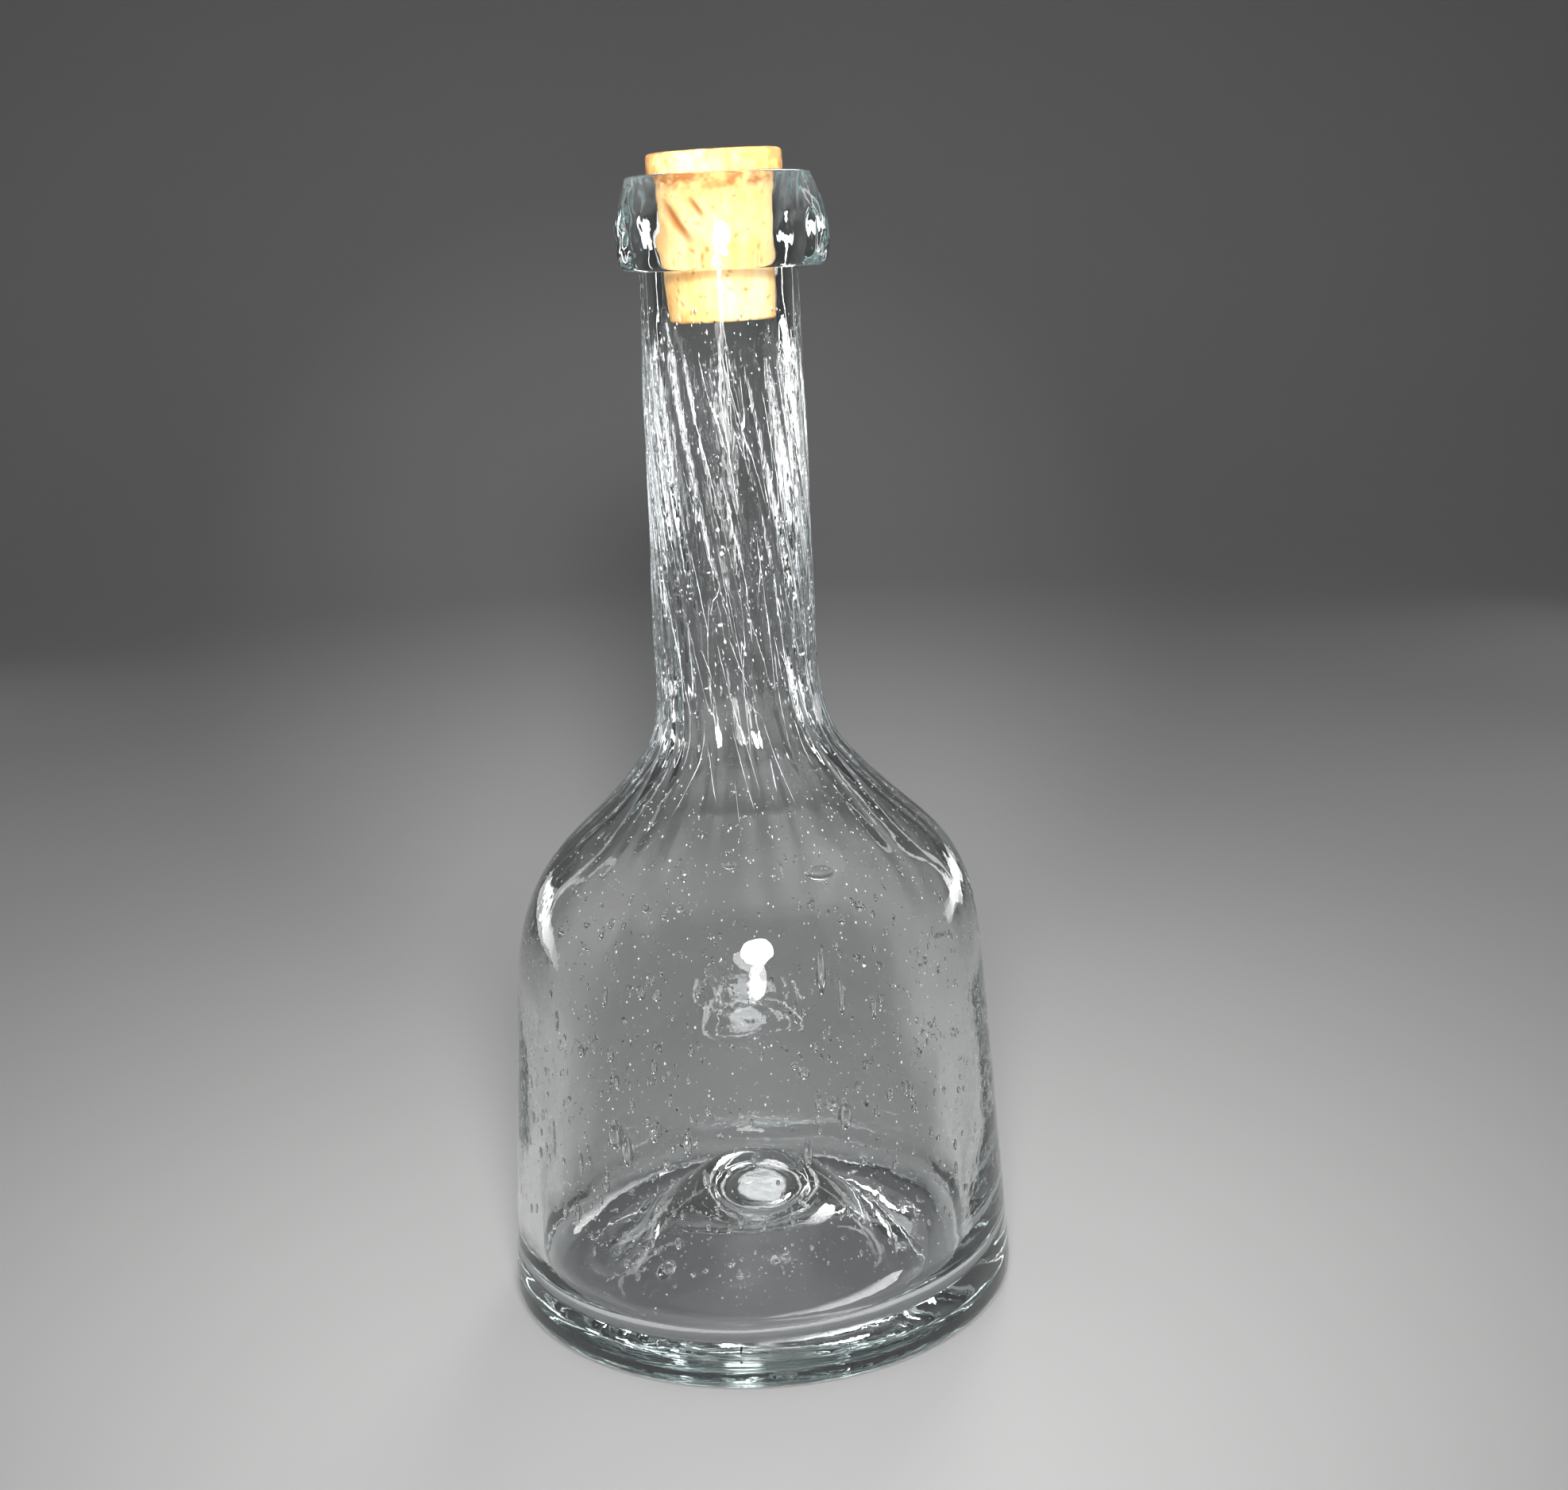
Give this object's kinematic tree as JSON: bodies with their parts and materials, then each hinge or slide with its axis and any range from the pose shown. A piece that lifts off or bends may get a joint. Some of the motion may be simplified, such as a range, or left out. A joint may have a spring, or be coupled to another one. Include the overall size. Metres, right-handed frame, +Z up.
{
  "type": "glass carafe",
  "caption": "Hand-blown clear glass carafe with a bell-shaped body, punted base, ridged twisted neck, glass lip band and a tapered natural cork that pulls out.",
  "frame": {"origin": "centre of the flat ring that the carafe stands on, on the body's axis", "axes": "+Z up along the body's axis to the cork; +X to the viewer's right and -Y towards the viewer in the picture"},
  "size_m": [0.126, 0.126, 0.2782],
  "materials": {
    "clear_glass": "glossy, seeded with small bubbles, faint grey-green in thick places",
    "natural_cork": "matte natural cork with darker pores"
  },
  "bodies": {
    "vessel": {"glass_vessel": "clear_glass", "lip_collar": "clear_glass"},
    "stopper": {"cork_stopper": "natural_cork"}
  },
  "joints": [
    {"name": "stopper_pull", "type": "slide", "parent": "vessel", "child": "stopper", "axis": [0, 0, 1], "range_m": [0, 0.06]}
  ]
}
